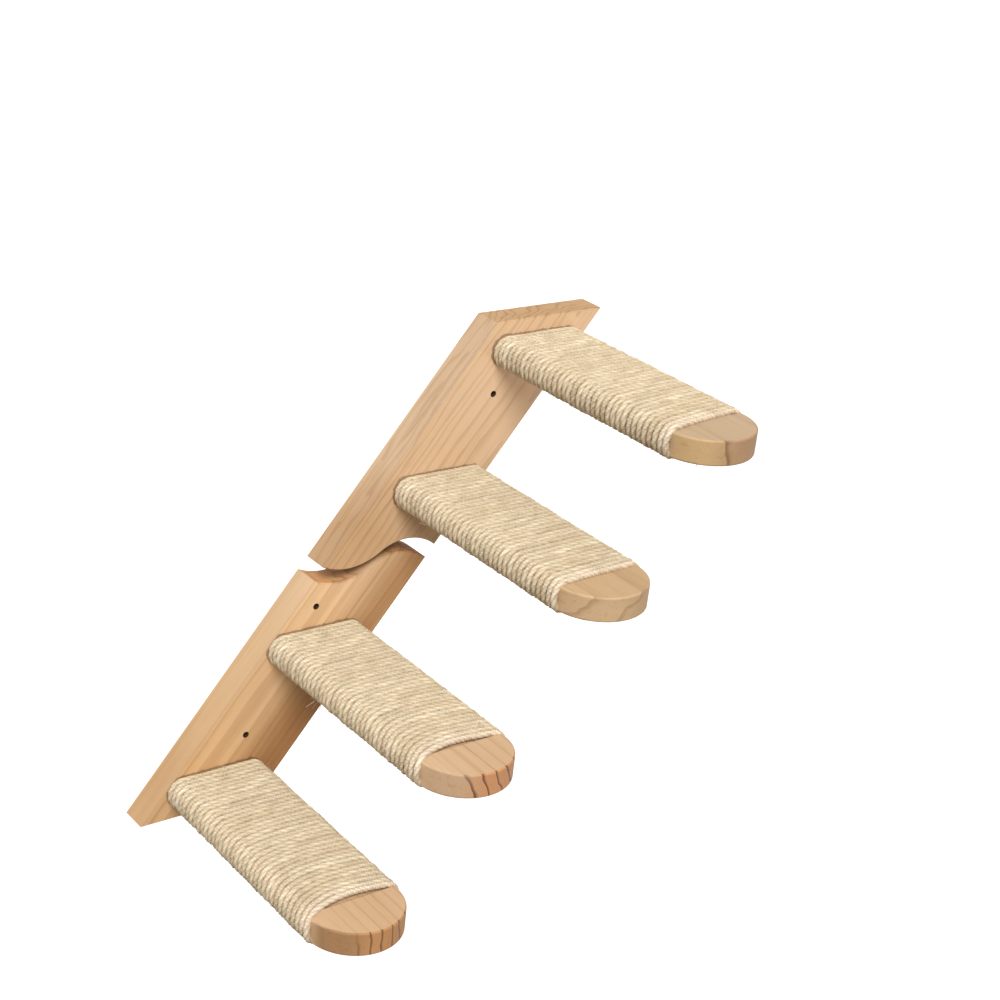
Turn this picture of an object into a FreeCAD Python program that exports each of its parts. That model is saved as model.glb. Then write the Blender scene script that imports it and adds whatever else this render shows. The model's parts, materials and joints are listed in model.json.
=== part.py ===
"""Cat wall shelf: two slanting pine back boards that carry four rope-wound treads.

Millimetres. The wall is the plane y = 0 with +Y going into it, +X runs to the right and +Z up.
The origin is the wall end of the lower board's inner screw hole.
"""
import FreeCAD, Part
import math
import os

from FreeCAD import Vector

# Back boards: one slanting board, level at both ends, that a saw line parts into two halves of one length.
BOARD_WIDTH = 80.0
BOARD_THICKNESS = 24.0
BOARD_TILT_DEGREES = 51.5
BOARD_END_MARGIN = 23.5
BOARD_EDGE_CHAMFER = 1.0

# The S-shaped saw line: how far its middle lies over its ends and how steep it is there, and the open gap
# between the halves along the boards.
JOINT_LIFT = 3.0
JOINT_SLOPE_DEGREES = 33.0
JOINT_GAP = 12.0

# Treads: planks with a round bare tip, thinned to a waist where the rope goes round.
TREADS_PER_BOARD = 2
TREAD_RISE = 102.5
TREAD_OFFSET = 7.5
PLANK_WIDTH = 74.0
PLANK_THICKNESS = 19.0
TIP_STRAIGHT = 4.0
TIP_EDGE_ROUND = 1.5
WAIST_LENGTH = 190.0
WAIST_DEPTH = 2.5
WAIST_SIDE_DEPTH = 1.0
WAIST_EDGE_ROUND = 6.0

# Sisal rope, wound as one unbroken run that starts and ends under the tread.
ROPE_DIAMETER = 6.0
ROPE_CLEARANCE = 0.3

# U-shaped wire staples over the rope's two ends.
STAPLE_WIRE = 1.0
STAPLE_CLEARANCE = 0.2
STAPLE_BITE = 7.0
STAPLE_FROM_END = 10.0
STAPLE_WALL = 0.6

# Wood screws from the board's back into the plank's end, with a cross recess in the sunk head.
SCREW_DIAMETER = 5.0
SCREW_LENGTH = 60.0
SCREW_POINT = 7.0
SCREW_HEAD_DIAMETER = 9.5
SCREW_SINK = 0.5
SCREW_SPACING = 40.0
RECESS_LENGTH = 5.0
RECESS_WIDTH = 1.2
RECESS_DEPTH = 1.6

# Radial room round the screws and the staple legs.
BORE_CLEARANCE = 0.1

# Plain wall screw holes: one beside each inner tread, and one between a half's treads, to the left of the
# board's middle line.
WALL_HOLE_DIAMETER = 5.0
INNER_HOLE_RISE = 29.5
OUTER_HOLE_SHARE = 0.665
LOWER_HOLE_LEFT = 9.5
UPPER_HOLE_LEFT = 1.5

# How far a cutter runs past the face that it cuts.
OVERRUN = 2.0

# The boards' slant, and sizes that follow from the ones above.
TILT = math.radians(BOARD_TILT_DEGREES)
LEVEL_WIDTH = BOARD_WIDTH / math.sin(TILT)
JOINT_RISE = JOINT_GAP * math.sin(TILT)
BOARD_HEIGHT = (TREADS_PER_BOARD - 0.5) * TREAD_RISE + BOARD_END_MARGIN
WAIST_WIDTH = PLANK_WIDTH - 2 * WAIST_SIDE_DEPTH
WAIST_THICKNESS = PLANK_THICKNESS - 2 * WAIST_DEPTH
WAIST_END = BOARD_THICKNESS + WAIST_LENGTH
SCREW_RADIUS = SCREW_DIAMETER / 2
SCREW_HEAD_RADIUS = SCREW_HEAD_DIAMETER / 2
SCREW_END = SCREW_SINK + SCREW_LENGTH

# The rope's middle line, seen along the tread, is a rectangle with round corners.
ROPE_RADIUS = ROPE_DIAMETER / 2
ROPE_RAISE = ROPE_CLEARANCE + ROPE_RADIUS
TURN_CORNER = WAIST_EDGE_ROUND + ROPE_RAISE
TURN_BEND = TURN_CORNER * math.pi / 2
TURN_ACROSS = WAIST_WIDTH / 2 - WAIST_EDGE_ROUND
TURN_UPRIGHT = WAIST_THICKNESS / 2 - WAIST_EDGE_ROUND
TURN_LENGTH = 4 * (TURN_ACROSS + TURN_UPRIGHT + TURN_BEND)

# The winding leaves room for a staple leg beside its first and last run and between any two turns, and it has as
# many turns as then fit on the waist.
LEG_OFFSET = ROPE_RADIUS + STAPLE_CLEARANCE + STAPLE_WIRE / 2
LEG_BORE_RADIUS = STAPLE_WIRE / 2 + BORE_CLEARANCE
ROPE_START = BOARD_THICKNESS + LEG_OFFSET + LEG_BORE_RADIUS + STAPLE_WALL
ROPE_END = WAIST_END - LEG_OFFSET - LEG_BORE_RADIUS - STAPLE_WALL
LEAST_SPACING = LEG_OFFSET + STAPLE_WIRE / 2 + ROPE_CLEARANCE + ROPE_RADIUS
ROPE_TURNS = math.floor((ROPE_END - ROPE_START) / LEAST_SPACING)
TURN_SLOPE = (ROPE_END - ROPE_START) / (ROPE_TURNS * TURN_LENGTH)

CENTRE = Vector(0, 0, 0)
RIGHT = Vector(1, 0, 0)
OUT = Vector(0, -1, 0)
UP = Vector(0, 0, 1)


def along_board(height):
    """The place on a board's middle line at a height over the joint's middle."""
    return RIGHT * (height / math.tan(TILT)) + UP * height


def tread_height(side, step):
    """A tread's height over the joint: side is -1 for the lower half, step 0 is the inner tread."""
    return side * (JOINT_RISE / 2 + (step + 0.5) * TREAD_RISE)


def tread_place(side, step):
    """A tread's middle on the wall plane, seen from the joint's middle."""
    return along_board(tread_height(side, step)) + RIGHT * (side * TREAD_OFFSET)


def wall_holes(side):
    """A half's wall screw holes: the inner one, towards the joint, and the outer one."""
    inner = tread_place(side, 0) - UP * (side * INNER_HOLE_RISE)
    middle = along_board(tread_height(side, 0) + side * OUTER_HOLE_SHARE * TREAD_RISE)
    outer = middle - RIGHT * (LOWER_HOLE_LEFT if side < 0 else UPPER_HOLE_LEFT)
    return [inner, outer]


def screw_places(tread):
    """The two screws of a tread, side by side."""
    sideways = RIGHT * (SCREW_SPACING / 2)
    return {"left": tread - sideways, "right": tread + sideways}


def staple_places():
    """The middle of the rope under each staple, seen from the tread's middle on the wall plane."""
    shift = STAPLE_FROM_END * TURN_SLOPE
    level = UP * -(WAIST_THICKNESS / 2 + ROPE_RAISE)
    root = level + RIGHT * STAPLE_FROM_END + OUT * (ROPE_START + shift)
    tip = level - RIGHT * STAPLE_FROM_END + OUT * (ROPE_END - shift)
    return {"root": root, "tip": tip}


def face_of(edges):
    """A flat face inside a closed chain of edges."""
    return Part.Face(Part.Wire(edges))


def lines_through(points):
    """Straight edges from each point to the next."""
    return [Part.LineSegment(start, end).toShape() for start, end in zip(points, points[1:])]


def tangent_arc(start, corner, end):
    """The arc from start to end that is tangent to the lines through the corner between them."""
    chord = end - start
    middle = (start + end) * 0.5
    half_turn = (corner - start).getAngle(chord)
    rise = chord.Length / 2 * math.tan(half_turn / 2)
    return Part.Arc(start, middle + (corner - middle).normalize() * rise, end).toShape()


def saw_line(inner):
    """The S through a board's inner end: a dip and a swell that share one slope where they meet."""
    half = RIGHT * (LEVEL_WIDTH / 2)
    middle = inner + UP * JOINT_LIFT
    slope = math.radians(JOINT_SLOPE_DEGREES)
    way = RIGHT * math.cos(slope) + UP * math.sin(slope)
    left, right = inner - half - middle, inner + half - middle
    dip = middle - way * (left.Length / 2 / math.cos(left.getAngle(-way)))
    swell = middle + way * (right.Length / 2 / math.cos(right.getAngle(way)))
    return [tangent_arc(inner - half, dip, middle), tangent_arc(middle, swell, inner + half)]


def board_face(side):
    """A half's outline on the wall plane: the saw line at its inner end and a level outer end."""
    inner = along_board(side * JOINT_RISE / 2)
    outer = along_board(side * (JOINT_RISE / 2 + BOARD_HEIGHT))
    half = RIGHT * (LEVEL_WIDTH / 2)
    sides = lines_through([inner + half, outer + half, outer - half, inner - half])
    return face_of(saw_line(inner) + sides)


def screw_hole():
    """The cutter for one screw through the board: its sunk head, the head's cone and the bore."""
    head = SCREW_HEAD_RADIUS + BORE_CLEARANCE
    bore = SCREW_RADIUS + BORE_CLEARANCE
    seat = OUT * SCREW_SINK
    mouth = Part.makeCylinder(head, OVERRUN + SCREW_SINK, OUT * -OVERRUN, OUT)
    cone = Part.makeCone(head, bore, head - bore, seat, OUT)
    through = Part.makeCylinder(bore, BOARD_THICKNESS + OVERRUN, seat, OUT)
    return mouth.fuse([cone, through])


def backboard(side):
    """One half of the back board, front edges eased, with its wall holes and screw holes."""
    board = board_face(side).extrude(OUT * BOARD_THICKNESS)
    front = [edge for edge in board.Edges if edge.BoundBox.YMax < -BOARD_THICKNESS / 2]
    board = board.makeChamfer(BOARD_EDGE_CHAMFER, front)
    cutters = []
    for hole in wall_holes(side):
        mouth = hole - OUT * OVERRUN
        cutters.append(Part.makeCylinder(WALL_HOLE_DIAMETER / 2, BOARD_THICKNESS + 2 * OVERRUN, mouth, OUT))
    for step in range(TREADS_PER_BOARD):
        for place in screw_places(tread_place(side, step)).values():
            cutters.append(screw_hole().translated(place))
    return board.cut(cutters)


def waist():
    """The plank under the rope, its long edges rounded for the turns."""
    corner = RIGHT * (-WAIST_WIDTH / 2) + OUT * WAIST_END - UP * (WAIST_THICKNESS / 2)
    block = Part.makeBox(WAIST_WIDTH, WAIST_LENGTH, WAIST_THICKNESS, corner)
    long_edges = [edge for edge in block.Edges if edge.BoundBox.YLength > WAIST_LENGTH / 2]
    return block.makeFillet(WAIST_EDGE_ROUND, long_edges)


def tip():
    """The bare tip: a short straight stretch that ends in a half circle, with eased rims."""
    base = UP * (-PLANK_THICKNESS / 2)
    half = RIGHT * (PLANK_WIDTH / 2)
    shoulder = base + OUT * WAIST_END
    bend = shoulder + OUT * TIP_STRAIGHT
    nose = bend + OUT * (PLANK_WIDTH / 2)
    sides = lines_through([bend + half, shoulder + half, shoulder - half, bend - half])
    front = Part.Arc(bend - half, nose, bend + half).toShape()
    solid = face_of(sides + [front]).extrude(UP * PLANK_THICKNESS)
    rims = [edge for edge in solid.Edges if edge.BoundBox.ZLength < PLANK_THICKNESS / 2]
    return solid.makeFillet(TIP_EDGE_ROUND, rims)


def plank():
    """One tread's wood, with bores for its screws and staple legs."""
    cutters = []
    start = BOARD_THICKNESS - OVERRUN
    for place in screw_places(CENTRE).values():
        depth = SCREW_END + BORE_CLEARANCE - start
        cutters.append(Part.makeCylinder(SCREW_RADIUS + BORE_CLEARANCE, depth, place + OUT * start, OUT))
    for place in staple_places().values():
        for leg in (-LEG_OFFSET, LEG_OFFSET):
            depth = ROPE_RAISE + STAPLE_BITE + BORE_CLEARANCE
            cutters.append(Part.makeCylinder(LEG_BORE_RADIUS, depth, place + OUT * leg, UP))
    return waist().fuse(tip()).removeSplitter().cut(cutters)


def screw():
    """A countersunk wood screw whose head faces the wall."""
    cone = SCREW_HEAD_RADIUS - SCREW_RADIUS
    shank = SCREW_LENGTH - cone - SCREW_POINT
    head = Part.makeCone(SCREW_HEAD_RADIUS, SCREW_RADIUS, cone, OUT * SCREW_SINK, OUT)
    body = Part.makeCylinder(SCREW_RADIUS, shank, OUT * (SCREW_SINK + cone), OUT)
    point = Part.makeCone(SCREW_RADIUS, 0, SCREW_POINT, OUT * (SCREW_END - SCREW_POINT), OUT)
    deep = RECESS_DEPTH + OVERRUN
    floor = OUT * (SCREW_SINK + RECESS_DEPTH)
    long, wide = RECESS_LENGTH / 2, RECESS_WIDTH / 2
    level = Part.makeBox(RECESS_LENGTH, deep, RECESS_WIDTH, floor - RIGHT * long - UP * wide)
    upright = Part.makeBox(RECESS_WIDTH, deep, RECESS_LENGTH, floor - RIGHT * wide - UP * long)
    return head.fuse([body, point]).removeSplitter().cut([level, upright])


def staple():
    """A round-backed wire staple, with the middle of the rope that it holds at the centre."""
    top = UP * (ROPE_RAISE + STAPLE_BITE)
    leg = OUT * LEG_OFFSET
    crown = Part.Arc(CENTRE - leg, UP * -LEG_OFFSET, leg)
    curves = [Part.LineSegment(top - leg, CENTRE - leg), crown, Part.LineSegment(leg, leg + top)]
    path = Part.Wire([curve.toShape() for curve in curves])
    section = Part.Wire([Part.makeCircle(STAPLE_WIRE / 2, top - leg, UP)])
    return path.makePipeShell([section], True, False)


def turn_stations():
    """One turn's stations, from below round the right edge: place, direction, way from the last one."""
    across, upright = RIGHT * TURN_ACROSS, UP * TURN_UPRIGHT
    side = RIGHT * (TURN_ACROSS + TURN_CORNER)
    top = UP * (TURN_UPRIGHT + TURN_CORNER)
    return [
        (across - top, RIGHT, TURN_ACROSS),
        (side - upright, UP, TURN_BEND),
        (side + upright, UP, 2 * TURN_UPRIGHT),
        (across + top, -RIGHT, TURN_BEND),
        (top - across, -RIGHT, 2 * TURN_ACROSS),
        (upright - side, -UP, TURN_BEND),
        (-side - upright, -UP, 2 * TURN_UPRIGHT),
        (-across - top, RIGHT, TURN_BEND),
    ]


def winding_stations():
    """The whole winding's stations, each a point and a tangent, in the order of the rope."""
    below = UP * -(TURN_UPRIGHT + TURN_CORNER)
    climb = OUT * TURN_SLOPE
    way = (RIGHT + climb).normalize()
    stations = [(below + OUT * ROPE_START, way)]
    for turn in range(ROPE_TURNS):
        travelled = turn * TURN_LENGTH
        for place, direction, step in turn_stations():
            travelled += step
            point = place + OUT * (ROPE_START + TURN_SLOPE * travelled)
            stations.append((point, (direction + climb).normalize()))
    stations.append((below + OUT * ROPE_END, way))
    return stations


def biarc(start, start_way, end, end_way):
    """Two arcs that leave one station along its tangent and reach the next along its own."""
    span = end - start
    square = 2 * (1 - start_way.dot(end_way))
    linear = 2 * span.dot(start_way + end_way)
    reach = (math.sqrt(linear ** 2 + 4 * square * span.dot(span)) - linear) / (2 * square)
    leave = start + start_way * reach
    arrive = end - end_way * reach
    meet = (leave + arrive) * 0.5
    return [tangent_arc(start, leave, meet), tangent_arc(meet, arrive, end)]


def winding_path():
    """The rope's middle line: straight runs and corner biarcs in turn."""
    stations = winding_stations()
    edges = []
    for index, ((start, start_way), (end, end_way)) in enumerate(zip(stations, stations[1:])):
        if index % 2:
            edges.extend(biarc(start, start_way, end, end_way))
        else:
            edges.append(Part.LineSegment(start, end).toShape())
    return Part.Wire(edges)


def least_gap(path):
    """The rope's least gap to the next turn, measured on points along its middle line."""
    spacing = ROPE_RADIUS / 2
    points = path.discretize(Distance=spacing)
    per_turn = round(TURN_LENGTH / spacing)
    nearest = TURN_LENGTH
    for index, point in enumerate(points):
        for other in points[index + per_turn // 2:index + per_turn * 3 // 2]:
            nearest = min(nearest, point.distanceToPoint(other))
    return nearest - ROPE_DIAMETER


def sisal_wrap():
    """One tread's rope as an unbroken tube; prints its length, its volume's share and its gap to itself."""
    path = winding_path()
    start, way = winding_stations()[0]
    section = Part.Wire([Part.makeCircle(ROPE_RADIUS, start, way)])
    rope = path.makePipeShell([section], True, False)
    volume_share = rope.Volume / (math.pi * ROPE_RADIUS ** 2 * path.Length)
    print("rope length", round(path.Length), "mm, volume over section times length", round(volume_share, 5))
    print("rope's least gap to itself", round(least_gap(path), 3), "mm")
    return rope


def tread_pieces():
    """The pieces of one tread, with the tread's middle on the wall plane at the centre."""
    pieces = {"plank": plank(), "sisal_wrap": sisal_wrap()}
    for name, place in screw_places(CENTRE).items():
        pieces["screw_" + name] = screw().translated(place)
    for name, place in staple_places().items():
        pieces["staple_" + name] = staple().translated(place)
    return pieces


def shelf_pieces():
    """Every piece by its node name, in the part's own frame."""
    joint = -wall_holes(-1)[0]
    pieces = {"lower_backboard": backboard(-1), "upper_backboard": backboard(1)}
    lower = [(-1, step) for step in reversed(range(TREADS_PER_BOARD))]
    upper = [(1, step) for step in range(TREADS_PER_BOARD)]
    tread = tread_pieces()
    for number, (side, step) in enumerate(lower + upper, start=1):
        for name, shape in tread.items():
            pieces["tread_%d_%s" % (number, name)] = shape.translated(tread_place(side, step))
    return {node: shape.translated(joint) for node, shape in pieces.items()}


os.makedirs("parts", exist_ok=True)
for node, shape in shelf_pieces().items():
    print(node, len(shape.Solids), shape.isValid(), round(shape.Volume))
    shape.exportStep("parts/" + node + ".step")
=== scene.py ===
# %% [markdown]
# # A cat wall shelf, dressed for its portrait
#
# The construction comes ready from CAD: two slanting pine boards, four treads, their screws and staples. This
# lesson gives each surface its finish and winds real rope round the treads. Everything is in metres, with the wall
# at y = 0, the treads pointing along -Y and +Z up.

# %% Load the frame
import json
import math

import bpy
import numpy as np
from mathutils import Euler, Matrix, Vector


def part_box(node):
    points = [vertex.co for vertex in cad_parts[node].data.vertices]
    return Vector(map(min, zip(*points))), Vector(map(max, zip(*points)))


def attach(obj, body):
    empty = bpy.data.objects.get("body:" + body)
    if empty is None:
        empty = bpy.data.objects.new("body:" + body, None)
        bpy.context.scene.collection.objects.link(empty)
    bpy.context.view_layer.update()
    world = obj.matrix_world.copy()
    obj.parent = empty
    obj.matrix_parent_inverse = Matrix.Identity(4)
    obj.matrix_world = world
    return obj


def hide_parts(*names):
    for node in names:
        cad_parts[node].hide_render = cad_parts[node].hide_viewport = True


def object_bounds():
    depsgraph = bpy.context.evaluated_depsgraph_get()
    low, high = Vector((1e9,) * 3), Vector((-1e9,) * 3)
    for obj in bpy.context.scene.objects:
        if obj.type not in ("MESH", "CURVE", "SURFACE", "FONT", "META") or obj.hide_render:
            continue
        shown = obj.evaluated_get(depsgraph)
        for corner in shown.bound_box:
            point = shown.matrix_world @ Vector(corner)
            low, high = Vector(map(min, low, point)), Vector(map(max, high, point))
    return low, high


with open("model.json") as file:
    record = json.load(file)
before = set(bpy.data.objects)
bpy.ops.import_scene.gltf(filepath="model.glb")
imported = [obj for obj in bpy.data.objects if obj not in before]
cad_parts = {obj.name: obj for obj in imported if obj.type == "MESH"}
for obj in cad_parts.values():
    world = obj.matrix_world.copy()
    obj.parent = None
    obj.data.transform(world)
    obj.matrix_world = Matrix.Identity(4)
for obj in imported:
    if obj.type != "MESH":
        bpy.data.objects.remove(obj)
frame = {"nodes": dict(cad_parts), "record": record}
cad_box = [list(corner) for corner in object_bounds()]
nodes = frame["nodes"]
MM = 0.001
TREADS = (1, 2, 3, 4)
print("frame holds", len(nodes), "nodes; CAD box", cad_box)

# %% [markdown]
# ## Node helpers
#
# Materials, the sky and the rope are all node trees. Written out node by node they would fill pages, so a few short
# functions add a node and feed its inputs in one line.

# %% Node helpers
MIX_SHARE, MIX_FIRST, MIX_SECOND, MIX_RESULT = 0, 6, 7, 2


def add(tree, kind, inputs=(), **options):
    """Add a node, set its options, and feed its inputs with values or with other nodes' outputs."""
    node = tree.nodes.new(kind)
    for option, value in options.items():
        setattr(node, option, value)
    for socket, value in dict(inputs).items():
        if isinstance(value, bpy.types.NodeSocket):
            tree.links.new(value, node.inputs[socket])
        else:
            node.inputs[socket].default_value = value
    return node


def blank_material(name):
    """A material with only a Principled shader and its output; returns the material, its tree and the shader."""
    material = bpy.data.materials.new(name)
    material.use_nodes = True
    tree = material.node_tree
    tree.nodes.clear()
    shader = add(tree, "ShaderNodeBsdfPrincipled")
    add(tree, "ShaderNodeOutputMaterial", {"Surface": shader.outputs["BSDF"]})
    return material, tree, shader


def sums(tree, operation, first, second=0.0):
    return add(tree, "ShaderNodeMath", {0: first, 1: second}, operation=operation).outputs["Value"]


def vectors(tree, operation, first, second=(0, 0, 0)):
    node = add(tree, "ShaderNodeVectorMath", {0: first, 1: second}, operation=operation)
    return node.outputs["Value" if operation == "LENGTH" else "Vector"]


def scaled(tree, vector, factors):
    return vectors(tree, "MULTIPLY", vector, factors)


def axis(tree, vector, letter):
    return add(tree, "ShaderNodeSeparateXYZ", {0: vector}).outputs[letter]


def noise(tree, vector, detail=2.0, roughness=0.5, output="Fac"):
    sockets = {"Vector": vector, "Scale": 1.0, "Detail": detail, "Roughness": roughness}
    return add(tree, "ShaderNodeTexNoise", sockets).outputs[output]


def ranged(tree, value, low, high, to_low=0.0, to_high=1.0, smooth=True):
    sockets = {"Value": value, "From Min": low, "From Max": high, "To Min": to_low, "To Max": to_high}
    kind = "SMOOTHSTEP" if smooth else "LINEAR"
    return add(tree, "ShaderNodeMapRange", sockets, interpolation_type=kind).outputs["Result"]


def mixed(tree, share, first, second, blend="MIX"):
    sockets = {MIX_SHARE: share, MIX_FIRST: first, MIX_SECOND: second}
    return add(tree, "ShaderNodeMix", sockets, data_type="RGBA", blend_type=blend).outputs[MIX_RESULT]


def tinted(tree, share, colour, tint):
    """The colour, multiplied by a tint where share is 1."""
    return mixed(tree, share, colour, mixed(tree, 1.0, colour, tint, "MULTIPLY"))


print("node helpers ready")

# %% [markdown]
# ## Camera
#
# The picture was taken from the left, a little above and with the camera slightly rolled. A camera object could be
# aimed with a Track To constraint, but a plain rotation matrix made from three angles shows what each angle does:
# azimuth turns the view about the upright axis, elevation tips it down and roll turns the picture itself. The lens
# is also shifted a little, because the shelf sits low and to the left in its picture.

# %% Camera
AZIMUTH, ELEVATION, ROLL = (math.radians(angle) for angle in (38.36, 25.77, 5.93))
CAMERA_PLACE = Vector((-0.74283, -1.14065, 0.67623))
FOCAL_SHARE = 1.97614
SHIFT_RIGHT, SHIFT_UP = 0.035, 0.085
SENSOR = 36.0
FARTHEST = 200.0

ahead = Vector((math.sin(AZIMUTH), math.cos(AZIMUTH), 0))
forward = ahead * math.cos(ELEVATION) - Vector((0, 0, math.sin(ELEVATION)))
level = Vector((math.cos(AZIMUTH), -math.sin(AZIMUTH), 0))
upright = level.cross(forward)
right = level * math.cos(ROLL) + upright * math.sin(ROLL)
up = upright * math.cos(ROLL) - level * math.sin(ROLL)

lens = bpy.data.cameras.new("portrait_camera")
lens.sensor_width = SENSOR
lens.lens = SENSOR * FOCAL_SHARE
lens.shift_x, lens.shift_y = SHIFT_RIGHT, SHIFT_UP
lens.clip_end = FARTHEST
camera = bpy.data.objects.new("portrait_camera", lens)
camera.matrix_world = Matrix((right, up, -forward)).transposed().to_4x4()
camera.location = CAMERA_PLACE
bpy.context.scene.collection.objects.link(camera)
bpy.context.scene.camera = camera
print("camera lens", round(lens.lens, 1), "mm, looking along", [round(v, 3) for v in forward])

# %% [markdown]
# ## Stage and light
#
# The shelf hangs over a plain pale floor under soft light. A big soft sun from the upper left stands for a studio
# softbox, and a sky that is bright above and dimmer below keeps the treads' undersides in gentle shade. The floor
# stays out of the bounced light, so it doesn't brighten those undersides. A small reflector at the lower right
# lifts the shade on the board under the top tread.

# %% Stage and light
FLOOR_DROP = 1.1
FLOOR_REACH = 40.0
FLOOR_COLOUR = (0.95, 0.95, 0.945, 1)
FLOOR_ROUGHNESS = 0.9
SUN_STRENGTH = 2.95
SUN_SOFTNESS = math.radians(30)
SUN_FROM = Vector((-0.38, -0.60, 0.70))
SUN_COLOUR = (0.98, 1.0, 1.03)
FILL_POWER = 2.2
FILL_CONE = math.radians(19)
FILL_FADE = 1.0
FILL_SIZE = 0.05
FILL_FROM = Vector((0.30, -0.30, 0.05))
FILL_AT = Vector((0.188, -0.024, 0.160))
SKY_ABOVE = (0.79, 0.75, 0.70, 1)
SKY_BELOW = (0.15, 0.105, 0.068, 1)
SKY_BAND = (-0.58, 0.5)


def make_floor():
    bottom = cad_box[0][2] - FLOOR_DROP
    ways = ((-1, -1), (1, -1), (1, 1), (-1, 1))
    mesh = bpy.data.meshes.new("studio_floor")
    mesh.from_pydata([(x * FLOOR_REACH, y * FLOOR_REACH, bottom) for x, y in ways], [], [(0, 1, 2, 3)])
    floor = bpy.data.objects.new("studio_floor", mesh)
    bpy.context.scene.collection.objects.link(floor)
    material, _, shader = blank_material("pale_floor")
    shader.inputs["Base Color"].default_value = FLOOR_COLOUR
    shader.inputs["Roughness"].default_value = FLOOR_ROUGHNESS
    mesh.materials.append(material)
    floor.visible_diffuse = False


def make_sky():
    world = bpy.data.worlds.new("studio_sky")
    world.use_nodes = True
    tree = world.node_tree
    tree.nodes.clear()
    place = add(tree, "ShaderNodeTexCoord").outputs["Generated"]
    height = ranged(tree, axis(tree, place, "Z"), *SKY_BAND, smooth=False)
    light = add(tree, "ShaderNodeBackground", {"Color": mixed(tree, height, SKY_BELOW, SKY_ABOVE)})
    add(tree, "ShaderNodeOutputWorld", {"Surface": light.outputs["Background"]})
    bpy.context.scene.world = world


def aimed(name, data, direction):
    """A light object that shines along a direction."""
    light = bpy.data.objects.new(name, data)
    light.rotation_mode = "QUATERNION"
    light.rotation_quaternion = direction.to_track_quat("-Z", "Y")
    bpy.context.scene.collection.objects.link(light)
    return light


def make_sun():
    data = bpy.data.lights.new("softbox_sun", "SUN")
    data.energy = SUN_STRENGTH
    data.color = SUN_COLOUR
    data.angle = SUN_SOFTNESS
    aimed("softbox_sun", data, -SUN_FROM)


def make_fill():
    data = bpy.data.lights.new("reflector", "SPOT")
    data.energy = FILL_POWER
    data.spot_size = FILL_CONE
    data.spot_blend = FILL_FADE
    data.shadow_soft_size = FILL_SIZE
    aimed("reflector", data, FILL_AT - FILL_FROM).location = FILL_FROM


make_floor()
make_sky()
make_sun()
make_fill()
bpy.context.scene.view_settings.view_transform = "Standard"
print("stage: floor", FLOOR_DROP, "m under the shelf, one soft sun, a small reflector and a graded sky")

# %% [markdown]
# ## Pine: rings and grain
#
# A plank is a slice of a log, so the grain on its faces and the stripes on its ends are the same growth rings seen
# from different sides. A flat picture of wood can't do that, but a solid texture can: each point's distance from
# the log's heart gives its ring, and the slice takes care of the rest. The heart wanders along the log, and the
# years differ in growth. The dark late wood grows in over a share of its year and breaks off sharply where the next
# year begins. Fine fibres, longer threads and broad patches then vary the tone along the grain.

# %% Pine: rings and grain
SWAY_GRAIN = (7, 40, 40)
YEAR_GRAIN = (0, 70, 70)
FIBRE_GRAIN = (28, 900, 900)
THREAD_GRAIN = (11, 330, 330)
PATCH_GRAIN = (5, 30, 30)
NOISE_MIDDLE = (0.5, 0.5, 0.5)
YEAR_END = (0.95, 1.0, 1.0, 0.0)
STREAKS = (0.3, 0.75, -0.13, 0.13)
THREADS_FROM = (0.56, 0.70)
PATCHES = (0.3, 0.7, -0.2, 0.2)
TONES = (-0.2, 1.0)
OTHER_LOG_SHIFT, OTHER_LOG_TONE = 3.6, 0.25


def late_growth(tree, log, ring_gap, wander, unlike, late_wood, other):
    """How far each point lies in the late wood of its year; other is 1 where the wood is from a second log."""
    sway = noise(tree, scaled(tree, log, SWAY_GRAIN), detail=3, output="Color")
    shift = scaled(tree, vectors(tree, "SUBTRACT", sway, NOISE_MIDDLE), (0, 2 * wander, 2 * wander))
    flat = scaled(tree, vectors(tree, "ADD", shift, log), (0, 1, 1))
    years = noise(tree, scaled(tree, flat, YEAR_GRAIN), detail=1)
    ring = sums(tree, "DIVIDE", vectors(tree, "LENGTH", flat), ring_gap)
    ring = sums(tree, "ADD", ring, sums(tree, "MULTIPLY", years, unlike))
    ring = sums(tree, "ADD", ring, sums(tree, "MULTIPLY", other, OTHER_LOG_SHIFT))
    phase = sums(tree, "FRACT", ring)
    return sums(tree, "MULTIPLY", ranged(tree, phase, *late_wood), ranged(tree, phase, *YEAR_END))


def wood_fibre(tree, log):
    return noise(tree, scaled(tree, log, FIBRE_GRAIN), detail=4, roughness=0.65)


def wood_tone(tree, log, late, fibre, contrast, threads, other):
    """A tone from 0, the wood's light colour, to 1, its dark one."""
    line = noise(tree, scaled(tree, log, THREAD_GRAIN), detail=3, roughness=0.6)
    patch = noise(tree, scaled(tree, log, PATCH_GRAIN))
    tone = sums(tree, "MULTIPLY", late, contrast)
    for part in (ranged(tree, fibre, *STREAKS, smooth=False), ranged(tree, patch, *PATCHES, smooth=False),
                 ranged(tree, line, *THREADS_FROM, 0.0, threads), sums(tree, "MULTIPLY", other, OTHER_LOG_TONE)):
        tone = sums(tree, "ADD", tone, part)
    return ranged(tree, tone, *TONES, smooth=False)


print("growth rings, fibres, threads and patches ready")
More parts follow.
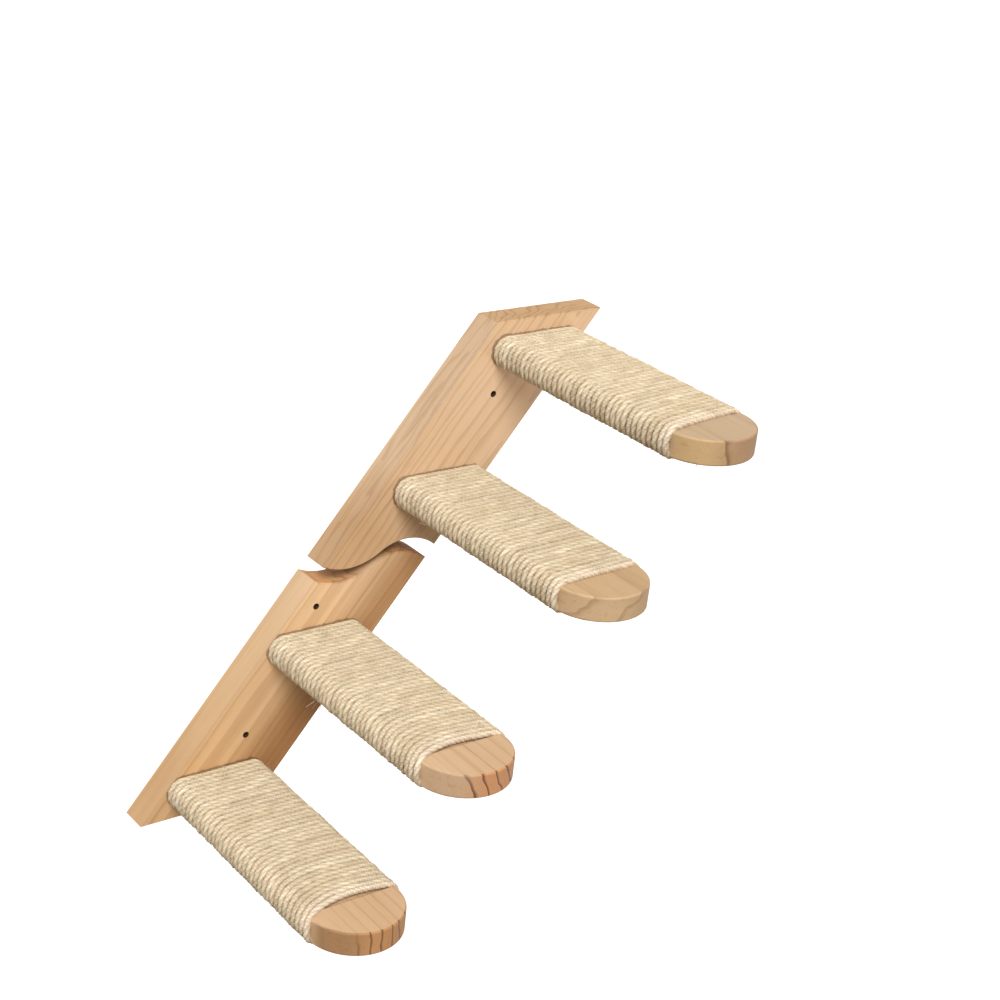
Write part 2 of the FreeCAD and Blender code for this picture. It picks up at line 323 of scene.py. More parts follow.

# %% [markdown]
# ## Pine: cut ends, edges and painted shade
#
# A cut end drinks more light than a face, shows its rings as dark lines and has open pores. The boards are also
# browner towards their low ends, and their side faces and arrises carry painted shade that tones down the
# stronger sun they catch. The insides of the drilled wall holes, where hardly any light gets in, are painted
# dark as shade, and so is the thin uneven line where a winding meets its board.

# %% Pine: cut ends, edges and painted shade
END_RING = (0.115, 0.045, 0.018, 1)
END_RING_POWER = 1.2
END_RIGHT = (24 * MM, 2 * MM)
RINGS_FADE, RINGS_LEFT = 4 * MM, 0.06
PORE_GRAIN = (300, 2600, 2600)
PORES, PORE_SHADE = (0.45, 0.75), 0.16
LOW_END_TINT = (0.84, 0.77, 0.66, 1)
# Painted shade: side faces and arrises are tinted darker, against the stronger sun they catch.
SIDE_SHADE_TINT, SIDE_SHADE_FACING = (0.79, 0.80, 0.825, 1), (0.3, 0.75)
ARRIS_SHADE_TINT, ARRIS_SHADE_FACING = (0.80, 0.79, 0.78, 1), (0.2, 0.4)
# Painted shade inside the drilled wall holes.
BORE_SHADE = (0.022, 0.011, 0.007, 1)
BORE_RADIUS, BORE_RIM = 2.45 * MM, 0.25 * MM
# Painted shade: a thin dark line where a winding meets its board.
CONTACT_SHADE, CONTACT_STRENGTH = (0.10, 0.048, 0.022, 1), 0.52
CONTACT_CORNER, CONTACT_INSET = 12.1 * MM, 12.4 * MM
CONTACT_REACH, CONTACT_WOBBLE = 0.35 * MM, 0.8 * MM
CONTACT_DEPTH = (0.4 * MM, 0.1 * MM)
WOBBLE_GRAIN, WOBBLE_RANGE = (260, 260, 260), (0.3, 0.7)


def cut_end(tree, face, log, late, sideways, end, end_right, end_rings, rings_from):
    """Face wood times end, or times end_right at its right, with ring lines to the right of rings_from."""
    lines = sums(tree, "MULTIPLY", sums(tree, "POWER", late, END_RING_POWER), end_rings)
    if rings_from is not None:
        shown = ranged(tree, sideways, rings_from + RINGS_FADE, rings_from, RINGS_LEFT, 1.0)
        lines = sums(tree, "MULTIPLY", lines, shown)
    shade = mixed(tree, ranged(tree, sideways, *END_RIGHT), (*end, 1), (*(end_right or end), 1))
    cut = mixed(tree, lines, mixed(tree, 1.0, face, shade, "MULTIPLY"), END_RING)
    pores = ranged(tree, noise(tree, scaled(tree, log, PORE_GRAIN)), *PORES)
    return mixed(tree, sums(tree, "MULTIPLY", pores, PORE_SHADE), cut, END_RING)


def board_tones(tree, face, own, facing, low_end):
    """The board's face with its browner low end, and painted shade on its sunnier side faces and arrises."""
    lower = ranged(tree, axis(tree, own, "X"), *low_end, smooth=False)
    face = tinted(tree, lower, face, LOW_END_TINT)
    edge = ranged(tree, sums(tree, "ABSOLUTE", facing["Z"]), *SIDE_SHADE_FACING)
    face = tinted(tree, edge, face, SIDE_SHADE_TINT)
    slanting = sums(tree, "ABSOLUTE", sums(tree, "MULTIPLY", facing["Y"], facing["Z"]))
    return tinted(tree, ranged(tree, slanting, *ARRIS_SHADE_FACING), face, ARRIS_SHADE_TINT)


def bore_shade_mask(tree, place, bores):
    """1 inside the drilled wall holes, which run along Y, and 0 outside them: where they get painted shade."""
    mask = 0.0
    for bore in bores:
        aside = vectors(tree, "SUBTRACT", place, bore)
        reach = vectors(tree, "LENGTH", scaled(tree, aside, (1, 0, 1)))
        mask = sums(tree, "MAXIMUM", ranged(tree, reach, BORE_RADIUS, BORE_RADIUS + BORE_RIM, 1.0, 0.0), mask)
    return mask


def contact_shade_mask(tree, place, treads):
    """Painted shade where a winding meets the board, fading out within a millimetre of its uneven edge."""
    wobble = ranged(tree, noise(tree, scaled(tree, place, WOBBLE_GRAIN), detail=3), *WOBBLE_RANGE,
                    -CONTACT_WOBBLE, CONTACT_WOBBLE, smooth=False)
    mask = 0.0
    for tread in treads:
        low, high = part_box(f"tread_{tread}_sisal_wrap")
        inner = (high - low) / 2 - Vector((CONTACT_INSET, 0, CONTACT_INSET))
        aside = vectors(tree, "ABSOLUTE", vectors(tree, "SUBTRACT", place, (low + high) / 2))
        aside = vectors(tree, "MAXIMUM", vectors(tree, "SUBTRACT", aside, inner))
        reach = vectors(tree, "LENGTH", scaled(tree, aside, (1, 0, 1)))
        edge = ranged(tree, sums(tree, "ADD", reach, wobble), CONTACT_CORNER - CONTACT_REACH,
                      CONTACT_CORNER + CONTACT_REACH, CONTACT_STRENGTH, 0.0)
        mask = sums(tree, "MAXIMUM", edge, mask)
    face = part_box(f"tread_{treads[0]}_plank")[1].y
    front = ranged(tree, axis(tree, place, "Y"), *(face + depth for depth in CONTACT_DEPTH))
    return sums(tree, "MULTIPLY", mask, front)


print("cut ends, edges, holes and contact lines ready")

# %% [markdown]
# ## Pine: one log for each piece
#
# Each piece turns the log so that its heart runs along the piece, and moves the heart to a place of its own, so that
# no two pieces are alike. The lower board is glued up from two strips: the wood past the glue line is another log,
# and a darker band leads up to it, partly darker heartwood and partly painted shade for the shadow under
# tread 2. On the two lower treads the rings show most at the right of the cut end.

# %% Pine: one log for each piece
PINK_PINE = ((0.725, 0.502, 0.31, 1), (0.49, 0.295, 0.155, 1))
GOLD_PINE = ((0.81, 0.555, 0.325, 1), (0.50, 0.288, 0.131, 1))
TAN_PINE = ((0.60, 0.395, 0.228, 1), (0.42, 0.238, 0.115, 1))
STRIP_TINT, GLUE_LINE = (0.90, 0.82, 0.73, 1), 0.1 * MM
# Partly the wood's own heartwood, partly painted shade for the shadow under tread 2.
HEARTWOOD_AND_SHADE_TINT = (0.62, 0.52, 0.41, 1)
HEARTWOOD_AND_SHADE_ACROSS, HEARTWOOD_AND_SHADE_ALONG = (8 * MM, -16 * MM), (0.085, 0.035, 0.6, 1.0)
PALE_LEFT = (26 * MM, 12 * MM, 0.25, 1.0)
BOARD_END_FACING, TREAD_END_FACING = (0.12, 0.85), (0.04, 0.4)
BOARD_UNLIKE, BOARD_END_RINGS = 2.4, 0.2
TREAD_UNLIKE, TREAD_WANDER, TREAD_LATE_WOOD = 0.7, 0.0006, (0.70, 0.95)
PINE_ROUGHNESS, PINE_SPECULAR = (0.62, 0.5), 0.3
LATE_RELIEF, PINE_BUMP, PINE_BUMP_DEPTH = 0.5, 0.25, 0.3 * MM
BOARD_TILT = math.radians(51.5)
ALONG_BOARD = (0, BOARD_TILT, 0)
ALONG_TREAD = (0, 0, math.radians(-90))


def pine(name, node, turn, heart, ring_gap, colours, wander, unlike, late_wood, contrast, end, end_rings,
         threads=0.42, tint=(1, 1, 1), strip=None, end_right=None, rings_from=None, low_end=None,
         bores=(), treads=()):
    """Solid pine for one piece: turn lays the log's heart along local X, heart is its place beside the piece."""
    material, tree, shader = blank_material(name)
    low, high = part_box(node)
    place = add(tree, "ShaderNodeTexCoord").outputs
    moved = {"Vector": place["Object"], "Rotation": turn, "Location": Euler(turn).to_matrix() @ ((low + high) / -2)}
    own = add(tree, "ShaderNodeMapping", moved).outputs["Vector"]
    facing = add(tree, "ShaderNodeMapping", {"Vector": place["Normal"], "Rotation": turn}, vector_type="VECTOR")
    facing = add(tree, "ShaderNodeSeparateXYZ", {0: facing.outputs["Vector"]}).outputs
    log = vectors(tree, "ADD", own, heart)
    across, sideways = axis(tree, own, "Z"), axis(tree, own, "Y")
    other = 0.0 if strip is None else ranged(tree, across, strip + GLUE_LINE, strip - GLUE_LINE)
    late = late_growth(tree, log, ring_gap, wander, unlike, late_wood, other)
    if rings_from is not None:
        late = sums(tree, "MULTIPLY", late, ranged(tree, sideways, *PALE_LEFT))
    fibre = wood_fibre(tree, log)
    face = mixed(tree, wood_tone(tree, log, late, fibre, contrast, threads, other), *colours)
    face = mixed(tree, 1.0, face, (*tint, 1), "MULTIPLY")
    if strip is not None:
        face = tinted(tree, other, face, STRIP_TINT)
        # A darker band towards the glue line: partly heartwood, partly painted shade under tread 2.
        heartwood_and_shade = ranged(tree, across, *HEARTWOOD_AND_SHADE_ACROSS)
        heartwood_and_shade = sums(tree, "MULTIPLY", heartwood_and_shade, ranged(tree, axis(tree, own, "X"), *HEARTWOOD_AND_SHADE_ALONG))
        face = tinted(tree, heartwood_and_shade, face, HEARTWOOD_AND_SHADE_TINT)
    if treads:
        # Browner low end, and painted shade on the side faces and arrises.
        face = board_tones(tree, face, own, facing, low_end)
    ending = ranged(tree, sums(tree, "ABSOLUTE", facing["X"]), *(BOARD_END_FACING if treads else TREAD_END_FACING))
    cut = cut_end(tree, face, log, late, sideways, end, end_right, end_rings, rings_from)
    colour = mixed(tree, ending, face, cut)
    # Painted shade along the line where each winding meets the board.
    if treads:
        colour = mixed(tree, contact_shade_mask(tree, place["Object"], treads), colour, CONTACT_SHADE)
    # Painted shade inside the wall holes.
    if bores:
        colour = mixed(tree, bore_shade_mask(tree, place["Object"], bores), colour, BORE_SHADE)
    tree.links.new(colour, shader.inputs["Base Color"])
    tree.links.new(ranged(tree, late, 0.0, 1.0, *PINE_ROUGHNESS), shader.inputs["Roughness"])
    shader.inputs["Specular IOR Level"].default_value = PINE_SPECULAR
    height = sums(tree, "ADD", sums(tree, "MULTIPLY", late, LATE_RELIEF), fibre)
    bump = add(tree, "ShaderNodeBump", {"Height": height, "Strength": PINE_BUMP, "Distance": PINE_BUMP_DEPTH})
    tree.links.new(bump.outputs["Normal"], shader.inputs["Normal"])
    return material


def dress(node, material):
    """Give a CAD node one material in place of the ones it came with."""
    slots = nodes[node].data.materials
    slots.clear()
    slots.append(material)


BOARD_LOGS = {
    "lower": {"heart": (0, 0.02, 0.12), "ring_gap": 0.013, "colours": GOLD_PINE, "wander": 0.004,
              "late_wood": (0.35, 0.92), "contrast": 0.45, "threads": 0.2, "strip": -22 * MM,
              "end": (0.86, 0.69, 0.51), "low_end": (0.09, -0.09), "treads": (1, 2)},
    "upper": {"heart": (0, 0.045, 0.03), "ring_gap": 0.0055, "colours": PINK_PINE, "wander": 0.009,
              "late_wood": (0.5, 0.94), "contrast": 0.5, "end": (0.85, 0.76, 0.62),
              "low_end": (-0.05, -0.1), "treads": (3, 4)},
}
# Tread 1's end_right is partly lighter wood, partly painted light against the light falling off to the right.
TREAD_LOGS = {
    1: {"heart": (0, 0.14, -0.015), "ring_gap": 0.0085, "tint": (0.94, 0.95, 0.97), "end": (0.58, 0.49, 0.375),
        "end_right": (0.86, 0.66, 0.47), "end_rings": 1.0, "contrast": 0.5, "rings_from": 15 * MM},
    2: {"heart": (0, 0.11, -0.05), "ring_gap": 0.010, "tint": (0.98, 1.02, 1.06), "end": (0.88, 0.87, 0.89),
        "end_right": (0.98, 0.72, 0.58), "end_rings": 1.0, "contrast": 0.5, "rings_from": 20 * MM},
    3: {"heart": (0, 0.05, 0.07), "ring_gap": 0.019, "tint": (0.88, 0.91, 0.90), "end": (1.03, 1.05, 1.06),
        "end_rings": 0.25, "contrast": 0.35},
    4: {"heart": (0, 0.123, 0.004), "ring_gap": 0.038, "tint": (0.78, 0.86, 0.94), "end": (1.12, 1.04, 0.82),
        "end_right": (0.92, 0.80, 0.72), "end_rings": 0.6, "contrast": 0.2},
}
wall_bores = [mount["pos_m"] for mount in frame["record"]["mounts"] if mount["kind"] == "bore"]
for half, log in BOARD_LOGS.items():
    node = f"{half}_backboard"
    dress(node, pine(f"{half}_board_pine", node, ALONG_BOARD, unlike=BOARD_UNLIKE, end_rings=BOARD_END_RINGS,
                     bores=wall_bores, **log))
for tread, log in TREAD_LOGS.items():
    node = f"tread_{tread}_plank"
    dress(node, pine(f"tread_{tread}_pine", node, ALONG_TREAD, colours=TAN_PINE, wander=TREAD_WANDER,
                     unlike=TREAD_UNLIKE, late_wood=TREAD_LATE_WOOD, **log))
print("pine on", len(BOARD_LOGS), "boards and", len(TREAD_LOGS), "treads")

# %% [markdown]
# ## Steel fixings
#
# The tread screws sit sunk in the boards' backs and the rope's ends are held by wire staples under the treads. Both
# are bright steel that has been handled: a metal shader whose roughness varies in small blotches.

# %% Steel fixings
STEEL_ROUGHNESS = (0.3, 0.7, 0.28, 0.5)
DULL_FROM, DULL_SHARE = (0.35, 0.8), 0.7
ZINC, ZINC_BLOTCH = (0.62, 0.58, 0.46, 1), 700
WIRE, WIRE_BLOTCH = (0.6, 0.6, 0.6, 1), 1500


def steel(name, colour, blotch):
    material, tree, shader = blank_material(name)
    place = add(tree, "ShaderNodeTexCoord").outputs["Object"]
    shader.inputs["Metallic"].default_value = 1.0
    patch = noise(tree, scaled(tree, place, (blotch, blotch, blotch)), detail=4)
    tree.links.new(ranged(tree, patch, *STEEL_ROUGHNESS), shader.inputs["Roughness"])
    dull = tuple(v * DULL_SHARE for v in colour[:3]) + (1,)
    tree.links.new(mixed(tree, ranged(tree, patch, *DULL_FROM), colour, dull), shader.inputs["Base Color"])
    return material


zinc = steel("zinc_plate", ZINC, ZINC_BLOTCH)
wire = steel("bright_wire", WIRE, WIRE_BLOTCH)
for tread in TREADS:
    for side in ("left", "right"):
        dress(f"tread_{tread}_screw_{side}", zinc)
    for end in ("root", "tip"):
        dress(f"tread_{tread}_staple_{end}", wire)
print("steel on", 2 * len(TREADS), "screws and", 2 * len(TREADS), "staples")

# %% [markdown]
# ## Sisal
#
# Sisal is a stiff, pale straw-coloured leaf fibre. Seen close it is a bundle of fine streaks along the rope;
# the grooves between the strands are painted darker as shade. The streaks have to follow the rope round every
# turn, so the material doesn't read the shelf's own space. It reads an attribute called unwound, which the rope's
# node tree stores: each point's place on the rope as if it lay straight along Z. Where the skin faces along the
# tread a turn lies against its neighbour, and painted shade makes a broken dark line there. Glue has left the last
# turns paler.

# %% Sisal
STRAW = (0.668, 0.538, 0.358, 1)
STRAW_PALE = (0.897, 0.81, 0.614, 1)
DARK_STRAW_AND_SHADE = (0.38, 0.27, 0.15, 1)
STRAW_GLUED = (0.90, 0.77, 0.61, 1)
GLUED_FROM, GLUED_FADE, GLUED_SHARE = 6.29, 30 * MM, 0.75
# Painted shade in the grooves between the strands.
GROOVE_RADIUS, GROOVE_RIM, GROOVE_SHADE_SHARE = 2.2 * MM, 2.48 * MM, 0.48
SISAL_GRAIN = (2100, 2100, 110)
YARN_GRAIN, YARN_RANGE, YARN_SHARE = (420, 420, 110), (0.52, 0.8), 0.55
LENGTH_GRAIN, LENGTH_RANGE = (0, 0, 7), (0.3, 0.7, -0.25, 0.4)
PALE_RANGE = (0.3, 0.75, 0.0, 0.7)
BROKEN_GRAIN, BROKEN_RANGE = (0, 0, 130), (0.40, 0.60, 0.15, 1.0)
# Painted shade where a turn lies against its neighbour.
CREVICE_SHADE_FACING, CREVICE_SHADE_SHARE = (0.6, 0.95), 0.54
SISAL_ROUGHNESS, SISAL_SPECULAR = 0.75, 0.25
SISAL_BUMP, SISAL_BUMP_DEPTH = 0.9, 0.6 * MM


def sisal():
    material, tree, shader = blank_material("sisal_straw")
    unwound = add(tree, "ShaderNodeAttribute", attribute_name="unwound").outputs["Vector"]
    fibre = noise(tree, scaled(tree, unwound, SISAL_GRAIN), detail=3, roughness=0.6)
    length = noise(tree, scaled(tree, unwound, LENGTH_GRAIN))
    pale = sums(tree, "ADD", ranged(tree, fibre, *PALE_RANGE), ranged(tree, length, *LENGTH_RANGE))
    colour = mixed(tree, pale, STRAW, STRAW_PALE)
    far = axis(tree, unwound, "Z")
    glued = ranged(tree, far, GLUED_FROM, GLUED_FROM + GLUED_FADE, 0.0, GLUED_SHARE)
    colour = mixed(tree, glued, colour, STRAW_GLUED)
    yarn = ranged(tree, noise(tree, scaled(tree, unwound, YARN_GRAIN)), *YARN_RANGE)
    reach = vectors(tree, "LENGTH", scaled(tree, unwound, (1, 1, 0)))
    groove = ranged(tree, reach, GROOVE_RADIUS, GROOVE_RIM, 1.0, 0.0)
    along_tread = axis(tree, add(tree, "ShaderNodeTexCoord").outputs["Normal"], "Y")
    broken = ranged(tree, noise(tree, scaled(tree, unwound, BROKEN_GRAIN)), *BROKEN_RANGE)
    beside = sums(tree, "MULTIPLY", ranged(tree, sums(tree, "ABSOLUTE", along_tread), *CREVICE_SHADE_FACING), broken)
    # Random dark yarn, then painted shade in the grooves and between the turns.
    for mask, share in ((yarn, YARN_SHARE), (groove, GROOVE_SHADE_SHARE), (beside, CREVICE_SHADE_SHARE)):
        colour = mixed(tree, sums(tree, "MULTIPLY", mask, share), colour, DARK_STRAW_AND_SHADE)
    tree.links.new(colour, shader.inputs["Base Color"])
    shader.inputs["Roughness"].default_value = SISAL_ROUGHNESS
    shader.inputs["Specular IOR Level"].default_value = SISAL_SPECULAR
    bump = add(tree, "ShaderNodeBump", {"Height": fibre, "Strength": SISAL_BUMP, "Distance": SISAL_BUMP_DEPTH})
    tree.links.new(bump.outputs["Normal"], shader.inputs["Normal"])
    return material


sisal_straw = sisal()
print("sisal material with", len(sisal_straw.node_tree.nodes), "nodes")

# %% [markdown]
# ## The rope's route
#
# The rope goes round each plank about three dozen times. Its middle line is a rectangle with round corners. The
# turns lie square to the tread on top and at the sides, as a hand lays them against the one before, and each steps
# on to the next place on the hidden underside. A little unevenness along the way keeps it hand-made. The last turns
# slip on to the bare tip, most at the left, and on the two lower treads they bow back on top.

# %% The rope's route
ROPE_RADIUS = 2.58 * MM
CAD_ROPE_RADIUS = 3.0 * MM
TURN_CORNER = 9.3 * MM
TURNS = 36
POINTS_PER_TURN = 96
ROOT_GAP = 0.9 * MM
TIP_GAP = -0.4 * MM
TIP_PRESS = 0.4
UNEVEN_ALONG, SPACING_ALONG = 0.36 * MM, 20
UNEVEN_OUT, SPACING_OUT = 0.34 * MM, 14
BOWS = {1: 8.0 * MM, 2: 7.0 * MM}
BOW_LEAN, BOW_SHAPE, BOW_GROWTH = 0.75, 1.3, 1.5
SLIPS = {1: (9.0 * MM, 1.5 * MM), 2: (8.0 * MM, 1.6 * MM), 3: (8.0 * MM, 4.0 * MM), 4: (11.0 * MM, 0.0)}
SLIP_SHAPE, SLIP_GROWTH = 1.5, 1.4
PARTED = {1: (26, 0.55 * MM)}
PARTED_TURNS = 3


def smooth(share):
    share = np.clip(share, 0, 1)
    return share * share * (3 - 2 * share)


def round_the_plank(way, half_width, half_height):
    """Places and outward directions at distances along one turn, from the middle of the underside to the right."""
    across, upright = half_width - TURN_CORNER, half_height - TURN_CORNER
    quarter = math.pi / 2
    bend = TURN_CORNER * quarter
    legs = [across, bend, 2 * upright, bend, 2 * across, bend, 2 * upright, bend, across]
    knots = np.concatenate([[0], np.cumsum(legs)])
    angles = np.interp(way, knots, np.array([-1, -1, 0, 0, 1, 1, 2, 2, 3, 3]) * quarter)
    middle_x = np.interp(way, knots, np.array([0, 1, 1, 1, 1, -1, -1, -1, -1, 0]) * across)
    middle_z = np.interp(way, knots, np.array([-1, -1, -1, 1, 1, 1, 1, -1, -1, -1]) * upright)
    out = np.stack([np.cos(angles), np.sin(angles)], axis=1)
    place = np.stack([middle_x, middle_z], axis=1) + out * TURN_CORNER
    return place, out, knots[-1]


def uneven(rng, count, spacing):
    """A smooth random line between -1 and 1 with a new value every so many points."""
    values = rng.uniform(-1, 1, count // spacing + 3)
    at = np.arange(count) / spacing
    left = at.astype(int)
    return values[left] + (values[left + 1] - values[left]) * smooth(at - left)


def hand_laid(tread, laid, place, half_width):
    """How far each point lies towards the board from its even place: bowed, slipped, or beside a parted pair."""
    share = np.clip((place[:, 0] / half_width + 1) / 2, 0, 1)
    grown = laid / (TURNS - 1)
    on_top = place[:, 1] > 0
    bow = BOWS.get(tread, 0.0) * np.sin(np.pi * share ** BOW_LEAN) ** BOW_SHAPE * grown ** BOW_GROWTH * on_top
    left, right = SLIPS[tread]
    slip = (right + (left - right) * (1 - share) ** SLIP_SHAPE) * grown ** SLIP_GROWTH
    turn, opening = PARTED.get(tread, (0, 0.0))
    after = laid - turn - 0.5
    fading = np.exp(-np.abs(after) / PARTED_TURNS) * np.sin(np.pi * share) * on_top
    return bow - slip - np.sign(after) * opening * fading


def rope_route(tread):
    """The rope's middle line on one tread; the turns that pass the tip's shoulder climb on to the tip."""
    low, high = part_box(f"tread_{tread}_sisal_wrap")
    plank_low, plank_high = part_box(f"tread_{tread}_plank")
    board_face = plank_high.y
    shoulder = low.y - (board_face - high.y)
    half_width = (high.x - low.x) / 2 - CAD_ROPE_RADIUS
    half_height = (high.z - low.z) / 2 - CAD_ROPE_RADIUS
    start = board_face - ROPE_RADIUS - ROOT_GAP
    stop = shoulder + ROPE_RADIUS + TIP_GAP
    pitch = (start - stop) / (TURNS - 1)
    count = TURNS * POINTS_PER_TURN + 1
    turn, point = np.divmod(np.arange(count), POINTS_PER_TURN)
    length = round_the_plank(np.zeros(1), half_width, half_height)[2]
    way = point / POINTS_PER_TURN * length
    place, out, _ = round_the_plank(way, half_width, half_height)
    flat = half_width - TURN_CORNER
    laid = np.clip(turn + smooth((way - (length - flat)) / flat), 0, TURNS - 1)
    rng = np.random.default_rng(tread)
    y = start - pitch * laid + uneven(rng, count, SPACING_ALONG) * UNEVEN_ALONG
    y = y + hand_laid(tread, laid, place, half_width)
    tip_half = (plank_high - plank_low) / 2
    pressed = TIP_PRESS * ROPE_RADIUS
    climb = np.array([tip_half.x + pressed - half_width, tip_half.z + pressed - half_height])
    over = smooth((shoulder + ROPE_RADIUS - y) / (2 * ROPE_RADIUS))
    out = out * ((uneven(rng, count, SPACING_OUT) * UNEVEN_OUT)[:, None] + over[:, None] * np.maximum(climb, 0))
    middle = (low + high) / 2
    return np.stack([middle.x + place[:, 0] + out[:, 0], y, middle.z + place[:, 1] + out[:, 1]], axis=1)


routes = {tread: rope_route(tread) for tread in TREADS}
rope_length = np.linalg.norm(np.diff(routes[1], axis=0), axis=1).sum()
print("each tread takes", round(float(rope_length), 2), "m of rope in", TURNS, "turns")

# %% [markdown]
# ## Parts of a laid rope
#
# A three-strand rope could be three curves wound round each other, but one profile with three lobes that turns as
# it travels gives the same surface as a single closed skin. Loose fibres are bent hairs on points, each leaning,
# spinning and sized at random.

# %% Parts of a laid rope
STRANDS = 3
PROFILE_POINTS = 18
LOBE_POWER = 0.75
HAIR_POINTS, HAIR_SIDES, HAIR_RADIUS, HAIR_BOW = 4, 3, 0.016, 0.35
LEAST_SIZE, LARGEST_SIZE = 2, 3


def stored(tree, geometry, name, value, data_type):
    sockets = {"Geometry": geometry, "Name": name, "Value": value}
    return add(tree, "GeometryNodeStoreNamedAttribute", sockets, data_type=data_type).outputs["Geometry"]


def named(tree, name, data_type):
    return add(tree, "GeometryNodeInputNamedAttribute", {"Name": name}, data_type=data_type).outputs["Attribute"]


def lobed_profile(tree, radius, groove):
    """A circle drawn in between its strands: the radius dips to the groove once per strand."""
    circle = add(tree, "GeometryNodeCurvePrimitiveCircle", {"Resolution": PROFILE_POINTS, "Radius": 1.0})
    place = add(tree, "GeometryNodeInputPosition").outputs["Position"]
    angle = sums(tree, "ARCTAN2", axis(tree, place, "Y"), axis(tree, place, "X"))
    wave = sums(tree, "ABSOLUTE", sums(tree, "COSINE", sums(tree, "MULTIPLY", angle, STRANDS / 2)))
    swell = sums(tree, "MULTIPLY", sums(tree, "POWER", wave, LOBE_POWER), sums(tree, "SUBTRACT", radius, groove))
    reach = {0: place, "Scale": sums(tree, "ADD", swell, groove)}
    grown = add(tree, "ShaderNodeVectorMath", reach, operation="SCALE").outputs["Vector"]
    shaped = add(tree, "GeometryNodeSetPosition", {"Geometry": circle.outputs["Curve"], "Position": grown})
    again = add(tree, "GeometryNodeInputPosition").outputs["Position"]
    return stored(tree, shaped.outputs["Geometry"], "section", again, "FLOAT_VECTOR")


def loose_fibre(tree):
    """One bent sisal fibre a unit long, standing on the origin."""
    line = add(tree, "GeometryNodeCurvePrimitiveLine", {"End": (0, 0, 1)})
    dense = add(tree, "GeometryNodeResampleCurve", {"Curve": line.outputs["Curve"], "Count": HAIR_POINTS})
    height = axis(tree, add(tree, "GeometryNodeInputPosition").outputs["Position"], "Z")
    bow = sums(tree, "MULTIPLY", sums(tree, "MULTIPLY", height, height), HAIR_BOW)
    offset = add(tree, "ShaderNodeCombineXYZ", {"X": bow}).outputs["Vector"]
    bent = add(tree, "GeometryNodeSetPosition", {"Geometry": dense.outputs["Curve"], "Offset": offset})
    hair = add(tree, "GeometryNodeCurvePrimitiveCircle", {"Resolution": HAIR_SIDES, "Radius": HAIR_RADIUS})
    sweep = {"Curve": bent.outputs["Geometry"], "Profile Curve": hair.outputs["Curve"], "Fill Caps": True}
    return add(tree, "GeometryNodeCurveToMesh", sweep).outputs["Mesh"]


def scattered(tree, points, base_rotation, fibre, lean, shortest, longest, seed):
    """Fibres on points, each leaning, spinning and sized at random."""
    angles = {"Seed": seed, 0: (lean[0], 0, 0), 1: (lean[1], 0, 2 * math.pi)}
    random_turn = add(tree, "FunctionNodeRandomValue", angles, data_type="FLOAT_VECTOR")
    turn = add(tree, "FunctionNodeEulerToRotation", {0: random_turn.outputs[0]})
    turns = {0: base_rotation, 1: turn.outputs[0]}
    rotation = add(tree, "FunctionNodeRotateRotation", turns, rotation_space="LOCAL")
    sizes = {"Seed": seed, LEAST_SIZE: shortest, LARGEST_SIZE: longest}
    size = add(tree, "FunctionNodeRandomValue", sizes, data_type="FLOAT")
    sockets = {"Points": points, "Instance": fibre, "Rotation": rotation.outputs[0], "Scale": size.outputs[1]}
    return add(tree, "GeometryNodeInstanceOnPoints", sockets).outputs["Instances"]


print("profile with", STRANDS, "lobes on", PROFILE_POINTS, "points")

# %% [markdown]
# ## Laid rope from a route
#
# The node tree tilts the route's points by their distance, sweeps the lobed profile along it, stores the unwound
# place for the material and sprinkles loose fibres over the skin, longer ones at the rope's two cut ends and at a
# tuft where one is given.

# %% Laid rope from a route
ROPE_INPUTS = {
    "Rope Radius": ("NodeSocketFloat", ROPE_RADIUS),
    "Groove Radius": ("NodeSocketFloat", GROOVE_RADIUS),
    "Lay Length": ("NodeSocketFloat", 17 * MM),
    "Fibres Per Area": ("NodeSocketFloat", 14000.0),
    "Fibre Length": ("NodeSocketFloat", 5.5 * MM),
    "Fray Length": ("NodeSocketFloat", 15 * MM),
    "Fray Count": ("NodeSocketInt", 30),
    "Tuft Place": ("NodeSocketFloat", -1.0),
    "Seed": ("NodeSocketInt", 1),
    "Material": ("NodeSocketMaterial", None),
}
SLACK_SCALE, SLACK_TWIST = 14.0, 9.0
FUZZ_LEAN, FUZZ_SHORTEST = (0.7, 1.5), 0.4
FRAY_LEAN, FRAY_SHORTEST = (0.2, 1.45), 0.35
TUFT_REACH = 1.5 * MM


